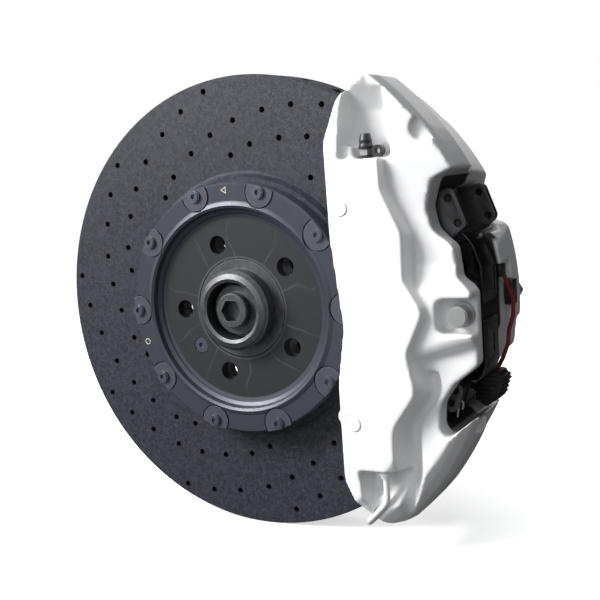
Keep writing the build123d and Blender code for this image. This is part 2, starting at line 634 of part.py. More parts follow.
def pad_lining(level):
    """The friction lining, with a wear slot across its middle and bevelled ends."""
    front = DISC_MID_Y - DISC_THICKNESS / 2 - PAD_GAP
    half = PAD_HALF_WIDTH - 2.0
    corners = [(PAD_INNER_U + 2.0, -half, 3.0), (PAD_INNER_U + 2.0, half, 3.0),
               (PAD_OUTER_U - 10.0, half, 5.0), (PAD_OUTER_U - 3.0, half - 12.0, 6.0),
               (PAD_OUTER_U - 3.0, -half, 4.0)]
    turn = Rot(0, 0, level * PAD_ANGLE)
    outline = turn * rounded([(u, level * t, radius) for u, t, radius in corners])
    lining = slab(outline, front - LINING_THICKNESS, front)
    slot = turn * (Pos(150.0, level * -2.0) * Rectangle(90.0, 3.0))
    return lining - slab(slot, front - LINING_THICKNESS + 3.0, front + 1.0)


def bleed_screw(side):
    """A bleed screw: thread, hexagon and the nipple that a hose goes on."""
    y = port_y(side)
    screw = upright(3.9, PORT_X, y, SHELF_TOP_Z - PORT_DEPTH + 0.5, SHELF_TOP_Z + 2.0)
    screw += extrude(Plane(origin=(PORT_X, y, SHELF_TOP_Z + 2.0)) * RegularPolygon(5.0, 6), amount=4.0)
    screw += upright(2.4, PORT_X, y, SHELF_TOP_Z + 6.0, SHELF_TOP_Z + 14.5)
    return screw - upright(0.9, PORT_X, y, SHELF_TOP_Z, SHELF_TOP_Z + 18.0)


def bleed_cap(side):
    """The rubber cap over the nipple: a flared foot, a waist and a tapered crown."""
    y = port_y(side)
    low = SHELF_TOP_Z + 6.2
    profile = [(2.8, low), (5.4, low), (5.5, low + 2.2), (4.9, low + 3.4), (4.6, low + 4.2),
               (4.8, low + 6.5), (3.5, low + 11.2), (0.0, low + 11.2), (0.0, low + 8.8), (2.8, low + 8.8)]
    face = make_face(Polyline(*[(x, 0, z) for x, z in profile], close=True))
    return Pos(PORT_X, y, 0) * revolve(face, axis=Axis.Z)


def cap_strap(side):
    """The cap's strap: a ring about the screw's foot that curls up into a loop beside it."""
    y = port_y(side)
    low = SHELF_TOP_Z + 0.3
    foot = Plane(origin=(PORT_X, y, low)) * (Circle(6.6) - Circle(4.3))
    strap = extrude(foot, amount=1.6)
    centre = (PORT_X + 9.8, low + 4.3)
    band = slab(Pos(*centre) * (Circle(4.3) - Circle(2.2)), y - 2.6, y + 2.6)
    arm = Pos(PORT_X + 7.9, y, low + 0.8) * Box(4.6, 5.2, 1.6)
    return strap + band + (arm - upright(6.0, PORT_X, y, low - 1.0, low + 3.0))


def crossover_pipe():
    """The fluid pipe between the two halves' lower ports."""
    return pipe_run(PIPE_R)


def pipe_nut(side):
    """The union nut that holds the pipe in its port."""
    y = port_y(side)
    nut = upright(3.9, PORT_X, y, SHELF_BOTTOM_Z, SHELF_BOTTOM_Z + PORT_DEPTH - 1.0)
    nut += upright(5.6, PORT_X, y, SHELF_BOTTOM_Z - 3.6, SHELF_BOTTOM_Z)
    nut += upright(4.2, PORT_X, y, SHELF_BOTTOM_Z - 6.0, SHELF_BOTTOM_Z - 3.6)
    return nut - upright(2.45, PORT_X, y, SHELF_BOTTOM_Z - 10.0, SHELF_BOTTOM_Z + PORT_DEPTH)


def ribbon(points, y_low, y_high):
    """A bent sheet: a line in X and Z given the sheet's thickness, from y_low to y_high."""
    return slab(trace(Polyline(*points), SHEET), y_low, y_high)


def pad_spring(level):
    """The black sheet spring beside the bridge: a crossbar at the window and a slotted tongue."""
    if level > 0:
        bar = ribbon([(188.5, 58.0), (193.5, 57.0), (196.5, 54.5)], 4.5, 64.5)
        tongue = ribbon([(193.5, 57.0), (196.5, 54.5), (202.0, 47.0), (207.4, 31.0), (207.4, 5.0)],
                        TONGUE_FRONT_Y, 34.0)
        slots = Pos(203.0, 24.0, 43.0) * Box(14.0, 3.0, 5.0) + Pos(207.0, 29.5, 19.0) * Box(8.0, 4.0, 19.0)
    else:
        bar = ribbon([(204.5, -49.5), (199.0, -54.0), (193.0, -55.0)], 4.5, 49.0)
        tongue = ribbon([(207.4, -8.0), (207.4, -42.0), (204.5, -49.5), (199.0, -54.0)],
                        TONGUE_FRONT_Y, 32.0)
        slots = Pos(207.0, 22.0, -27.0) * Box(8.0, 4.0, 14.0)
    return bar + tongue - slots


def lead_clips():
    """The black blocks on the bridge: the lead's socket and the clip that the lead passes."""
    return [Pos(208.3, 44.0, 24.0) * Box(4.8, 11.0, 10.0), Pos(209.6, 62.4, 5.0) * Box(7.4, 11.0, 20.0)]


def wear_lead():
    """The pad wear lead, arched over the clip and down to its connector."""
    path = FilletPolyline(*LEAD_ROUTE, radius=LEAD_BEND_R)
    start, second = Vector(*LEAD_ROUTE[0]), Vector(*LEAD_ROUTE[1])
    section = Plane(origin=start, z_dir=second - start) * Circle(LEAD_R)
    return sweep(section, path=path)


def wear_connector():
    """The black ribbed plug at the end of the wear lead."""
    outline = rounded([(183.0, -57.0, 3.0), (202.0, -56.0, 3.0), (206.5, -62.0, 3.0),
                       (202.0, -77.0, 4.0), (192.0, -84.0, 3.0), (184.0, -79.0, 3.0)])
    return slab(outline, 44.0, 65.2)


def main():
    os.makedirs("parts", exist_ok=True)
    ring, collar = disc_parts()
    write("disc_ring", ring)
    write("disc_collar", collar)
    write("bell", bell())
    write("clamp_washers", *around(clamp_washer(), CLAMP_COUNT, CLAMP_START_DEG))
    write("clamp_bolts", *around(clamp_bolt(), CLAMP_COUNT, CLAMP_START_DEG))
    write("clamp_nuts", *around(clamp_nut(), CLAMP_COUNT, CLAMP_START_DEG))
    write("hub", hub())
    write("disc_screw", disc_screw())
    write("axle_bolt", axle_bolt())
    write("axle_stub", axle_stub())
    write("bearing_inner_rings", *[inner_race(y) for y in BALL_ROWS_Y])
    write("bearing_housing", bearing_housing())
    write("bearing_seals", *bearing_seals())
    balls = []
    for (side_name, side), row_y in zip(SIDES.items(), BALL_ROWS_Y):
        balls += around(bearing_ball(row_y), BALLS_PER_ROW)
        write(f"bearing_cage_{side_name}", bearing_cage(row_y, side))
    write("bearing_balls", *balls)
    write("caliper_body", caliper_body())
    write("face_plugs", *face_plugs())
    write("bridge_bolt", bridge_bolt())
    write("bridge_nut", bridge_nut())
    write("crossover_pipe", crossover_pipe())
    write("pipe_nuts", *[pipe_nut(side) for side in SIDES.values()])
    seals = []
    boots = []
    for side_name, side in SIDES.items():
        place = flipped if side < 0 else (lambda shape: shape)
        for name, _, radius, x, z in piston_places():
            write(f"piston_{name}_{side_name}", place(piston(radius, x, z)))
            seals.append(place(piston_seal(radius, x, z)))
            boots.append(place(piston_boot(radius, x, z)))
        for level_name, level in LEVELS.items():
            write(f"pad_plate_{level_name}_{side_name}", place(pad_plate(level)))
            write(f"pad_lining_{level_name}_{side_name}", place(pad_lining(level)))
        write(f"bleed_screw_{side_name}", bleed_screw(side))
        write(f"bleed_cap_{side_name}", bleed_cap(side))
        write(f"cap_strap_{side_name}", cap_strap(side))
    write("piston_seals", *seals)
    write("piston_boots", *boots)
    for level_name, level in LEVELS.items():
        write(f"pad_spring_{level_name}", pad_spring(level))
    write("lead_clips", *lead_clips())
    write("wear_lead", wear_lead())
    write("wear_connector", wear_connector())


if __name__ == "__main__":
    main()
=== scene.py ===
"""Looks of the brake caliper with disc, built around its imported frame."""

import json
import math

import bpy
from mathutils import Matrix, Vector


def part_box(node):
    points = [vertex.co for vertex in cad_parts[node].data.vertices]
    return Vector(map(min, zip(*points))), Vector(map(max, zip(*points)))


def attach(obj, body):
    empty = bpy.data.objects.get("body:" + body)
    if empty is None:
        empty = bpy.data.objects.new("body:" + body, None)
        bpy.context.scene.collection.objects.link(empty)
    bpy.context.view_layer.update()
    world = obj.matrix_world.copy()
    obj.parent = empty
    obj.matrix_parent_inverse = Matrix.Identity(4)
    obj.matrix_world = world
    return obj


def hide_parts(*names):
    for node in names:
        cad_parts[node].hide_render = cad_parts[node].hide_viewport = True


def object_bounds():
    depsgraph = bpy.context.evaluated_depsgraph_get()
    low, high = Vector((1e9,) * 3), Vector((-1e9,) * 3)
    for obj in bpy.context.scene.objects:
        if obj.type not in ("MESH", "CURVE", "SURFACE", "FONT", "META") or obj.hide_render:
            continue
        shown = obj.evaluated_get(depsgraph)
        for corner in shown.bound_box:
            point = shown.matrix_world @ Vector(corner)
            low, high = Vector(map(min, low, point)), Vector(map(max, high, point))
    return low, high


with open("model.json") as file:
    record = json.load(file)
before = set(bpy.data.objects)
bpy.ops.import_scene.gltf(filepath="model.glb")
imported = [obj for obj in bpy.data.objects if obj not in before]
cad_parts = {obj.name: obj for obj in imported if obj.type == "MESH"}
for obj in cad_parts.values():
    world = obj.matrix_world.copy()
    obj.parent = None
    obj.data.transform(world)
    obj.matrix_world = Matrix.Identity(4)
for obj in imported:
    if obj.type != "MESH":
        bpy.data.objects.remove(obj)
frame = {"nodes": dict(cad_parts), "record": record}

CAD_BOUNDS = [list(corner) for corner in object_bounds()]
MM = 0.001
NODES = frame["nodes"]
SKY_DIM = 0.01
SKY_BRIGHT = 0.8
# Name, place, size and power of the soft lights.
LAMPS = [
    ("key", (-1.15, -1.15, 1.15), 0.8, 68.0),
    ("front", (0.1, -1.9, 0.5), 1.2, 3.0),
    ("top", (0.5, 0.1, 1.7), 1.0, 5.0),
    ("back", (-0.4, 1.9, 0.3), 1.2, 4.0),
]
BOLT_CIRCLE_R = 56.0 * MM
BOLT_DEG = 37.1
THREAD_PITCH = 1.5 * MM
# How far the small edges of each node are rounded, in millimetres.
EDGED = {
    "pad_plate_upper_outboard": 0.5,
    "pad_plate_upper_inboard": 0.5,
    "pad_plate_lower_outboard": 0.5,
    "pad_plate_lower_inboard": 0.5,
    "pad_spring_upper": 0.3,
    "pad_spring_lower": 0.3,
    "lead_clips": 1.0,
}
PLUG_RIBS = 6
PAD_DEG = 20.0
WELL_SIZE = (100.0 * MM, 82.2 * MM, 78.0 * MM)
WELL_MIDDLE_U = 140.0 * MM
WELL_MIDDLE_Y = 34.5 * MM
# The hooked wire, in millimetres.
WIRE_ROUTE = [
    (183.9, 0.0, -81.4), (185.0, 0.0, -75.2), (186.9, 0.0, -68.6),
    (189.2, 0.0, -69.2), (189.1, 0.0, -72.7), (188.2, 0.0, -75.0),
]
MARK_PCR = 98.0 * MM
FLANGE_FACE_Y = -7.0 * MM
# Name, corners, radius in millimetres, place round the flange and turn of each mark.
FLANGE_MARKS = [("arrow_mark", 3, 3.4, 91.8, -1.57), ("ring_mark", 24, 2.6, 197.0, 0.0)]


# ------------------------------------------------------------------ camera, floor and light
def set_camera():
    """A standing view from outboard and slightly above, on the caliper's side."""
    data = bpy.data.cameras.new("camera")
    camera = bpy.data.objects.new("camera", data)
    bpy.context.scene.collection.objects.link(camera)
    camera.matrix_world = Matrix((
        (0.87612, -0.00291, 0.48209, 0.4442),
        (0.47691, 0.15143, -0.86581, -0.6969),
        (-0.07049, 0.98847, 0.13406, 0.1149),
        (0.0, 0.0, 0.0, 1.0),
    ))
    data.lens = 60.4
    data.sensor_width = 36.0
    data.clip_start = 0.01
    bpy.context.scene.camera = camera


def area_light(name, place, aim, size, power):
    """A soft square light that faces a point."""
    data = bpy.data.lights.new(name, "AREA")
    data.energy = power
    data.size = size
    lamp = bpy.data.objects.new(name, data)
    bpy.context.scene.collection.objects.link(lamp)
    lamp.location = place
    lamp.rotation_euler = (Vector(aim) - Vector(place)).to_track_quat("-Z", "Y").to_euler()


def sky_world():
    """A soft pale glow from the upper left front, dim from below and behind; seen as plain white."""
    world = bpy.data.worlds.new("sky")
    world.use_nodes = True
    tree = world.node_tree
    graph = Graph(tree)
    toward = graph.node("ShaderNodeVectorMath", {"operation": "DOT_PRODUCT"})
    graph.feed(toward.inputs[0], graph.node("ShaderNodeTexCoord").outputs["Generated"])
    toward.inputs[1].default_value = Vector((-0.62, -0.55, 0.56)).normalized()
    glow = graph.node("ShaderNodeMapRange", {"interpolation_type": "SMOOTHSTEP"})
    graph.feed(glow.inputs["Value"], toward.outputs["Value"])
    glow.inputs["From Min"].default_value = -0.3
    glow.inputs["From Max"].default_value = 0.95
    glow.inputs["To Min"].default_value = SKY_DIM
    glow.inputs["To Max"].default_value = SKY_BRIGHT
    sky = tree.nodes["Background"]
    sky.inputs["Color"].default_value = (0.95, 0.97, 1.0, 1.0)
    graph.feed(sky.inputs["Strength"], glow.outputs["Result"])
    seen = graph.node("ShaderNodeBackground")
    seen.inputs["Color"].default_value = (1.0, 1.0, 1.0, 1.0)
    mix = graph.node("ShaderNodeMixShader")
    graph.feed(mix.inputs["Fac"], graph.node("ShaderNodeLightPath").outputs["Is Camera Ray"])
    graph.feed(mix.inputs[1], sky.outputs["Background"])
    graph.feed(mix.inputs[2], seen.outputs["Background"])
    graph.feed(tree.nodes["World Output"].inputs["Surface"], mix.outputs["Shader"])
    return world


def floor_material():
    """Pale floor: nearly white to look at, but it throws only a little light back up."""
    material = plain_material("floor_pale", (0.93, 0.93, 0.93), 0.9)
    graph = Graph(material.node_tree)
    shader = material.node_tree.nodes["Principled BSDF"]
    shader.inputs["Emission Color"].default_value = (1.0, 1.0, 1.0, 1.0)
    shader.inputs["Emission Strength"].default_value = 0.62
    dull = graph.node("ShaderNodeBsdfDiffuse")
    dull.inputs["Color"].default_value = (0.12, 0.12, 0.12, 1.0)
    mix = graph.node("ShaderNodeMixShader")
    graph.feed(mix.inputs["Fac"], graph.node("ShaderNodeLightPath").outputs["Is Camera Ray"])
    graph.feed(mix.inputs[1], dull.outputs["BSDF"])
    graph.feed(mix.inputs[2], shader.outputs["BSDF"])
    graph.feed(material.node_tree.nodes["Material Output"].inputs["Surface"], mix.outputs["Shader"])
    return material


def set_stage():
    """A plain pale floor under the disc, a pale sky and soft lights from the left."""
    bpy.context.scene.view_settings.view_transform = "Standard"
    bpy.context.scene.world = sky_world()
    low = CAD_BOUNDS[0][2]
    bpy.ops.mesh.primitive_plane_add(size=14.0, location=(0.0, 0.0, low - 0.5 * MM))
    floor = bpy.context.object
    floor.name = "floor"
    floor.data.materials.append(floor_material())
    middle = (0.08, 0.02, 0.0)
    for name, place, size, watts in LAMPS:
        area_light(name, place, middle, size, watts)


# ------------------------------------------------------------------ shader building
def plain_material(name, colour, roughness, metallic=0.0):
    """A new material with its Principled shader set to plain values."""
    material = bpy.data.materials.new(name)
    material.use_nodes = True
    shader = material.node_tree.nodes["Principled BSDF"]
    shader.inputs["Base Color"].default_value = (*colour, 1.0)
    shader.inputs["Roughness"].default_value = roughness
    shader.inputs["Metallic"].default_value = metallic
    return material


class Graph:
    """Short words for adding and joining nodes in one node tree."""

    def __init__(self, tree):
        self.tree = tree

    def node(self, kind, settings=None, **inputs):
        made = self.tree.nodes.new(kind)
        for name, value in (settings or {}).items():
            setattr(made, name, value)
        for name, value in inputs.items():
            self.feed(made.inputs[name.replace("_", " ")], value)
        return made

    def feed(self, socket, value):
        if isinstance(value, bpy.types.NodeSocket):
            self.tree.links.new(value, socket)
        elif isinstance(value, (tuple, list)) and len(value) == 3 and socket.type == "RGBA":
            socket.default_value = (*value, 1.0)
        else:
            socket.default_value = value

    def math(self, operation, first, second=0.0, clamp=False):
        made = self.tree.nodes.new("ShaderNodeMath")
        made.operation = operation
        made.use_clamp = clamp
        self.feed(made.inputs[0], first)
        self.feed(made.inputs[1], second)
        return made.outputs[0]

    def mix(self, factor, first, second):
        made = self.tree.nodes.new("ShaderNodeMix")
        made.data_type = "RGBA"
        self.feed(made.inputs["Factor"], factor)
        self.feed(made.inputs[6], first)
        self.feed(made.inputs[7], second)
        return made.outputs[2]

    def span(self, value, low, high, to_low=0.0, to_high=1.0):
        made = self.node("ShaderNodeMapRange")
        self.feed(made.inputs["Value"], value)
        made.inputs["From Min"].default_value = low
        made.inputs["From Max"].default_value = high
        made.inputs["To Min"].default_value = to_low
        made.inputs["To Max"].default_value = to_high
        return made.outputs["Result"]

    def place(self):
        return self.node("ShaderNodeTexCoord").outputs["Object"]

    def noise(self, scale, detail=3.0, rough=0.6, vector=None):
        made = self.node("ShaderNodeTexNoise", Scale=scale, Detail=detail, Roughness=rough)
        self.feed(made.inputs["Vector"], vector or self.place())
        return made.outputs["Fac"]


def new_group(name, inputs, outputs):
    """An empty node group with named float or colour sockets, and its Graph."""
    group = bpy.data.node_groups.new(name, "ShaderNodeTree")
    kinds = {"float": "NodeSocketFloat", "colour": "NodeSocketColor"}
    for socket, kind, value in inputs:
        made = group.interface.new_socket(socket, in_out="INPUT", socket_type=kinds[kind])
        made.default_value = value
    for socket, kind in outputs:
        group.interface.new_socket(socket, in_out="OUTPUT", socket_type=kinds[kind])
    graph = Graph(group)
    start = group.nodes.new("NodeGroupInput")
    end = group.nodes.new("NodeGroupOutput")
    return group, graph, start.outputs, end.inputs


def edge_wear_group():
    """A mask that is 1 on sharp outer edges, broken up by noise."""
    group, graph, given, put = new_group(
        "edge_wear", [("Width", "float", 0.0006), ("Break Up", "float", 0.4)], [("Mask", "float")])
    bevel = graph.node("ShaderNodeBevel", {"samples": 4})
    graph.feed(bevel.inputs["Radius"], given["Width"])
    geometry = graph.node("ShaderNodeNewGeometry")
    dot = graph.node("ShaderNodeVectorMath", {"operation": "DOT_PRODUCT"})
    graph.feed(dot.inputs[0], bevel.outputs["Normal"])
    graph.feed(dot.inputs[1], geometry.outputs["Normal"])
    edge = graph.span(dot.outputs["Value"], 0.995, 0.86)
    spots = graph.span(graph.noise(420.0, 4.0), 0.35, 0.65)
    loss = graph.math("MULTIPLY", graph.math("SUBTRACT", 1.0, spots), given["Break Up"])
    graph.feed(put["Mask"], graph.math("SUBTRACT", edge, loss, clamp=True))
    return group


def grain_group():
    """Fine surface grain: a colour factor round 1 and a height."""
    group, graph, given, put = new_group(
        "surface_grain",
        [("Scale", "float", 900.0), ("Colour Spread", "float", 0.1)],
        [("Factor", "float"), ("Height", "float")])
    fine = graph.node("ShaderNodeTexNoise", Detail=4.0, Roughness=0.65)
    graph.feed(fine.inputs["Vector"], graph.place())
    graph.feed(fine.inputs["Scale"], given["Scale"])
    broad = graph.noise(45.0, 3.0)
    both = graph.math("ADD", graph.math("MULTIPLY", fine.outputs["Fac"], 0.6),
                      graph.math("MULTIPLY", broad, 0.4))
    swing = graph.math("MULTIPLY", graph.math("SUBTRACT", both, 0.5), given["Colour Spread"])
    graph.feed(put["Factor"], graph.math("ADD", 1.0, graph.math("MULTIPLY", swing, 4.0)))
    graph.feed(put["Height"], fine.outputs["Fac"])
    return group


EDGE_WEAR = edge_wear_group()
GRAIN = grain_group()


def finish_material(name, colour, worn, roughness, metallic=0.0, width=0.5, wear=0.5, break_up=0.5,
                    grain_scale=900.0, spread=0.1, bump=0.02, coat=0.0):
    """A surface with grain, colour variation and wear along its edges."""
    material = plain_material(name, colour, roughness, metallic)
    graph = Graph(material.node_tree)
    shader = material.node_tree.nodes["Principled BSDF"]
    edges = graph.node("ShaderNodeGroup", {"node_tree": EDGE_WEAR})
    edges.inputs["Width"].default_value = width * MM
    edges.inputs["Break Up"].default_value = break_up
    grain = graph.node("ShaderNodeGroup", {"node_tree": GRAIN})
    grain.inputs["Scale"].default_value = grain_scale
    grain.inputs["Colour Spread"].default_value = spread
    varied = graph.node("ShaderNodeVectorMath", {"operation": "SCALE"})
    varied.inputs[0].default_value = colour
    graph.feed(varied.inputs["Scale"], grain.outputs["Factor"])
    mask = graph.math("MULTIPLY", edges.outputs["Mask"], wear)
    graph.feed(shader.inputs["Base Color"], graph.mix(mask, varied.outputs["Vector"], worn))
    base = graph.math("ADD", roughness - 0.08, graph.math("MULTIPLY", graph.noise(160.0, 4.0), 0.16))
    blend = graph.node("ShaderNodeMix", {"data_type": "FLOAT"})
    graph.feed(blend.inputs[0], mask)
    graph.feed(blend.inputs[2], base)
    graph.feed(blend.inputs[3], roughness)
    graph.feed(shader.inputs["Roughness"], blend.outputs[0])
    relief = graph.node("ShaderNodeBump", Strength=1.0, Distance=bump * MM)
    graph.feed(relief.inputs["Height"], grain.outputs["Height"])
    graph.feed(shader.inputs["Normal"], relief.outputs["Normal"])
    shader.inputs["Coat Weight"].default_value = coat
    shader.inputs["Coat Roughness"].default_value = 0.12
    return material


def axis_distance(graph):
    """Distance from the wheel axis, in metres, and the place's X, Y and Z."""
    parts = graph.node("ShaderNodeSeparateXYZ", Vector=graph.place())
    x_square = graph.math("MULTIPLY", parts.outputs["X"], parts.outputs["X"])
    z_square = graph.math("MULTIPLY", parts.outputs["Z"], parts.outputs["Z"])
    return graph.math("SQRT", graph.math("ADD", x_square, z_square)), parts.outputs


def ceramic_material():
    """Dark carbon-ceramic: chopped fibre bundles of different greys with light flecks."""
    material = plain_material("ceramic", (0.03, 0.03, 0.04), 0.5)
    graph = Graph(material.node_tree)
    shader = material.node_tree.nodes["Principled BSDF"]
    place = graph.place()
    warp = graph.node("ShaderNodeTexNoise", Scale=120.0, Detail=2.0, Vector=place)
    shift = graph.node("ShaderNodeVectorMath", {"operation": "SCALE"})
    graph.feed(shift.inputs[0], warp.outputs["Color"])
    shift.inputs["Scale"].default_value = 0.006
    moved = graph.node("ShaderNodeVectorMath", {"operation": "ADD"})
    graph.feed(moved.inputs[0], place)
    graph.feed(moved.inputs[1], shift.outputs["Vector"])
    bundles = graph.node("ShaderNodeTexVoronoi", Scale=330.0, Vector=moved.outputs["Vector"])
    fibres = graph.node("ShaderNodeTexVoronoi", Scale=900.0, Vector=moved.outputs["Vector"])
    tone = graph.math("ADD", graph.math("MULTIPLY", bundles.outputs["Color"], 0.55),
                      graph.math("MULTIPLY", fibres.outputs["Color"], 0.45))
    broad = graph.noise(26.0, 4.0, 0.7)
    base = graph.mix(graph.span(broad, 0.3, 0.7), (0.008, 0.0095, 0.016), (0.014, 0.0145, 0.019))
    light = graph.mix(graph.span(tone, 0.25, 0.85), base, (0.034, 0.038, 0.052))
    fleck = graph.span(graph.noise(1500.0, 2.0, 0.5), 0.63, 0.72)
    flecked = graph.mix(graph.math("MULTIPLY", fleck, 0.5), light, (0.24, 0.25, 0.29))
    pores = graph.span(graph.noise(800.0, 3.0, 0.6), 0.36, 0.3)
    pitted = graph.mix(graph.math("MULTIPLY", pores, 0.7), flecked, (0.012, 0.012, 0.015))
    graph.feed(shader.inputs["Base Color"], pitted)
    graph.feed(shader.inputs["Roughness"], graph.span(tone, 0.2, 0.9, 0.58, 0.42))
    shader.inputs["Specular IOR Level"].default_value = 0.35
    relief = graph.node("ShaderNodeBump", Strength=0.5, Distance=0.05 * MM)
    graph.feed(relief.inputs["Height"], tone)
    graph.feed(shader.inputs["Normal"], relief.outputs["Normal"])
    return material


def bell_material():
    """Satin dark coating; the wheel has left pale wavy lines between the bolts on the flat face."""
    material = finish_material("bell_coating", (0.045, 0.05, 0.065), (0.2, 0.21, 0.24), 0.4, metallic=0.35,
                               width=0.5, wear=0.35, spread=0.05, bump=0.012)
    graph = Graph(material.node_tree)
    shader = material.node_tree.nodes["Principled BSDF"]
    coated = shader.inputs["Base Color"].links[0].from_socket
    radius, parts = axis_distance(graph)
    face = graph.math("MULTIPLY", graph.span(radius, 0.0765, 0.075),
                      graph.span(parts["Y"], -0.0008, -0.0003))
    angle = graph.math("ARCTAN2", parts["Z"], parts["X"])
    wander = graph.math("MULTIPLY", graph.math("SUBTRACT", graph.noise(24.0, 1.0, 0.4), 0.5), 0.5)
    swept = graph.math("ADD", angle, graph.math("SUBTRACT", wander, 0.047))
    turn = graph.math("FRACT", graph.math("ADD", graph.math("MULTIPLY", swept, 5.0 / math.pi), 10.0))
    off = graph.math("MULTIPLY", graph.math("ABSOLUTE", graph.math("SUBTRACT", turn, 0.5)), radius)
    line = graph.span(off, 0.0016, 0.0003)
    fade = graph.span(radius, 0.072, 0.05, 0.35, 1.0)
    marks = graph.math("MULTIPLY", graph.math("MULTIPLY", line, fade),
                       graph.span(graph.noise(90.0), 0.3, 0.6))
    ring = graph.span(graph.math("ABSOLUTE", graph.math("SUBTRACT", radius, 0.0425)), 0.0012, 0.0002)
    pale = graph.math("MULTIPLY", graph.math("MAXIMUM", marks, ring), 0.4)
    worn = graph.mix(pale, (0.032, 0.033, 0.036), (0.16, 0.16, 0.155))
    graph.feed(shader.inputs["Base Color"], graph.mix(face, coated, worn))
    return material


def steel_material(name, colour, worn, roughness, mottle):
    """Bare worn steel with a brown-grey mottle."""
    material = finish_material(name, colour, worn, roughness, metallic=0.85, width=0.9, wear=0.85,
                               break_up=0.45, grain_scale=500.0, spread=0.18, bump=0.03)
    graph = Graph(material.node_tree)
    shader = material.node_tree.nodes["Principled BSDF"]
    plain = shader.inputs["Base Color"].links[0].from_socket
    stain = graph.span(graph.noise(130.0, 5.0, 0.7), 0.42, 0.62)
    graph.feed(shader.inputs["Base Color"], graph.mix(graph.math("MULTIPLY", stain, 0.5), plain, mottle))
    return material


def hub_material():
    """Worn grey steel; inside the five bolt holes the thread flanks are painted in light and dark stripes, a
    painted highlight and painted shade.
    """
    material = steel_material("hub_steel", (0.115, 0.118, 0.122), (0.42, 0.42, 0.43), 0.46,
                              (0.05, 0.05, 0.05))
    graph = Graph(material.node_tree)
    shader = material.node_tree.nodes["Principled BSDF"]
    plain = shader.inputs["Base Color"].links[0].from_socket
    radius, parts = axis_distance(graph)
    angle = graph.math("ARCTAN2", parts["Z"], parts["X"])
    turns = graph.math("FRACT", graph.math("ADD", graph.math("MULTIPLY", graph.math(
        "SUBTRACT", angle, math.radians(BOLT_DEG)), 2.5 / math.pi), 10.5))
    off_angle = graph.math("MULTIPLY", graph.math("SUBTRACT", turns, 0.5), math.tau / 5.0)
    across = graph.math("MULTIPLY", radius, graph.math("SINE", off_angle))
    outward = graph.math("MULTIPLY", radius, graph.math("COSINE", off_angle))
    along = graph.math("SUBTRACT", outward, BOLT_CIRCLE_R)
    reach = graph.math("SQRT", graph.math("ADD", graph.math("MULTIPLY", across, across),
                                          graph.math("MULTIPLY", along, along)))
    in_hole = graph.math("MULTIPLY", graph.span(reach, 0.0076, 0.0072),
                         graph.span(parts["Y"], 0.0081, 0.0085))
    # Painted highlight and shade: the thread flanks in the bolt holes alternate light and dark along the
    # pitch.
    depth = graph.math("MULTIPLY", parts["Y"], math.tau / THREAD_PITCH)
    flank = graph.math("SINE", graph.math("ADD", depth, off_angle))
    painted_thread_light_shade = graph.mix(graph.span(flank, -0.6, 0.6), (0.04, 0.04, 0.04), (0.75, 0.74, 0.72))
    graph.feed(shader.inputs["Base Color"], graph.mix(in_hole, plain, painted_thread_light_shade))
    return material


def paint_material():
    """Gloss white paint outside; between the windows the pocket walls are painted near black, a painted
    shade for the dark inside of the caliper.
    """
    material = finish_material("white_paint", (0.86, 0.86, 0.865), (0.93, 0.93, 0.93), 0.3,
                               wear=0.1, grain_scale=260.0, spread=0.01, bump=0.02, coat=0.35)
    graph = Graph(material.node_tree)
    shader = material.node_tree.nodes["Principled BSDF"]
    white = shader.inputs["Base Color"].links[0].from_socket
    gloss = shader.inputs["Roughness"].links[0].from_socket
    radius, parts = axis_distance(graph)
    # Painted shade: the pocket walls between the windows, inside the caliper, are painted near black where
    # they lie in shadow.
    mask = graph.math("MULTIPLY", graph.span(parts["Y"], -0.0098, -0.0086),
                      graph.span(parts["Y"], 0.050, 0.044))
    for inside in (graph.span(radius, 0.150, 0.152), graph.span(radius, 0.2125, 0.2105),
                   graph.span(parts["Z"], -0.094, -0.088), graph.span(parts["Z"], 0.108, 0.103),
                   graph.span(parts["X"], 0.140, 0.145)):
        mask = graph.math("MULTIPLY", mask, inside)
    painted_pocket_shade = graph.mix(graph.noise(300.0, 4.0), (0.006, 0.006, 0.006), (0.02, 0.019, 0.018))
    graph.feed(shader.inputs["Base Color"], graph.mix(mask, white, painted_pocket_shade))
    pocket_roughness = graph.math("MULTIPLY", mask, 0.75)
    graph.feed(shader.inputs["Roughness"], graph.math("MAXIMUM", gloss, pocket_roughness))
    graph.feed(shader.inputs["Coat Weight"], graph.span(mask, 0.0, 1.0, 0.35, 0.0))
    return material


def plate_material():
    """Worn black paint on the pad plates; their edge sides and dimple floors are painted near black, a
    painted shade.
    """
    material = finish_material("plate_black", (0.085, 0.085, 0.088), (0.4, 0.4, 0.4), 0.4, 0.2,
                               width=0.5, wear=0.5, spread=0.14)
    graph = Graph(material.node_tree)
    shader = material.node_tree.nodes["Principled BSDF"]
    faces = shader.inputs["Base Color"].links[0].from_socket
    low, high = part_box("pad_plate_upper_outboard")
    disc_low, disc_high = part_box("disc_ring")
    middle = (disc_low[1] + disc_high[1]) / 2.0
    away = graph.math("ABSOLUTE", graph.math("SUBTRACT", axis_distance(graph)[1]["Y"], middle))
    near, far = middle - high[1], middle - low[1]
    mask = graph.math("MULTIPLY", graph.span(away, near + 0.9 * MM, near + 1.3 * MM),
                      graph.span(away, far - 0.9 * MM, far - 1.3 * MM))
    # Painted shade: everything lying between the plate's two faces, its edge sides and dimple floors, is
    # painted near black.
    graph.feed(shader.inputs["Base Color"], graph.mix(mask, faces, (0.006, 0.006, 0.006)))
    return material


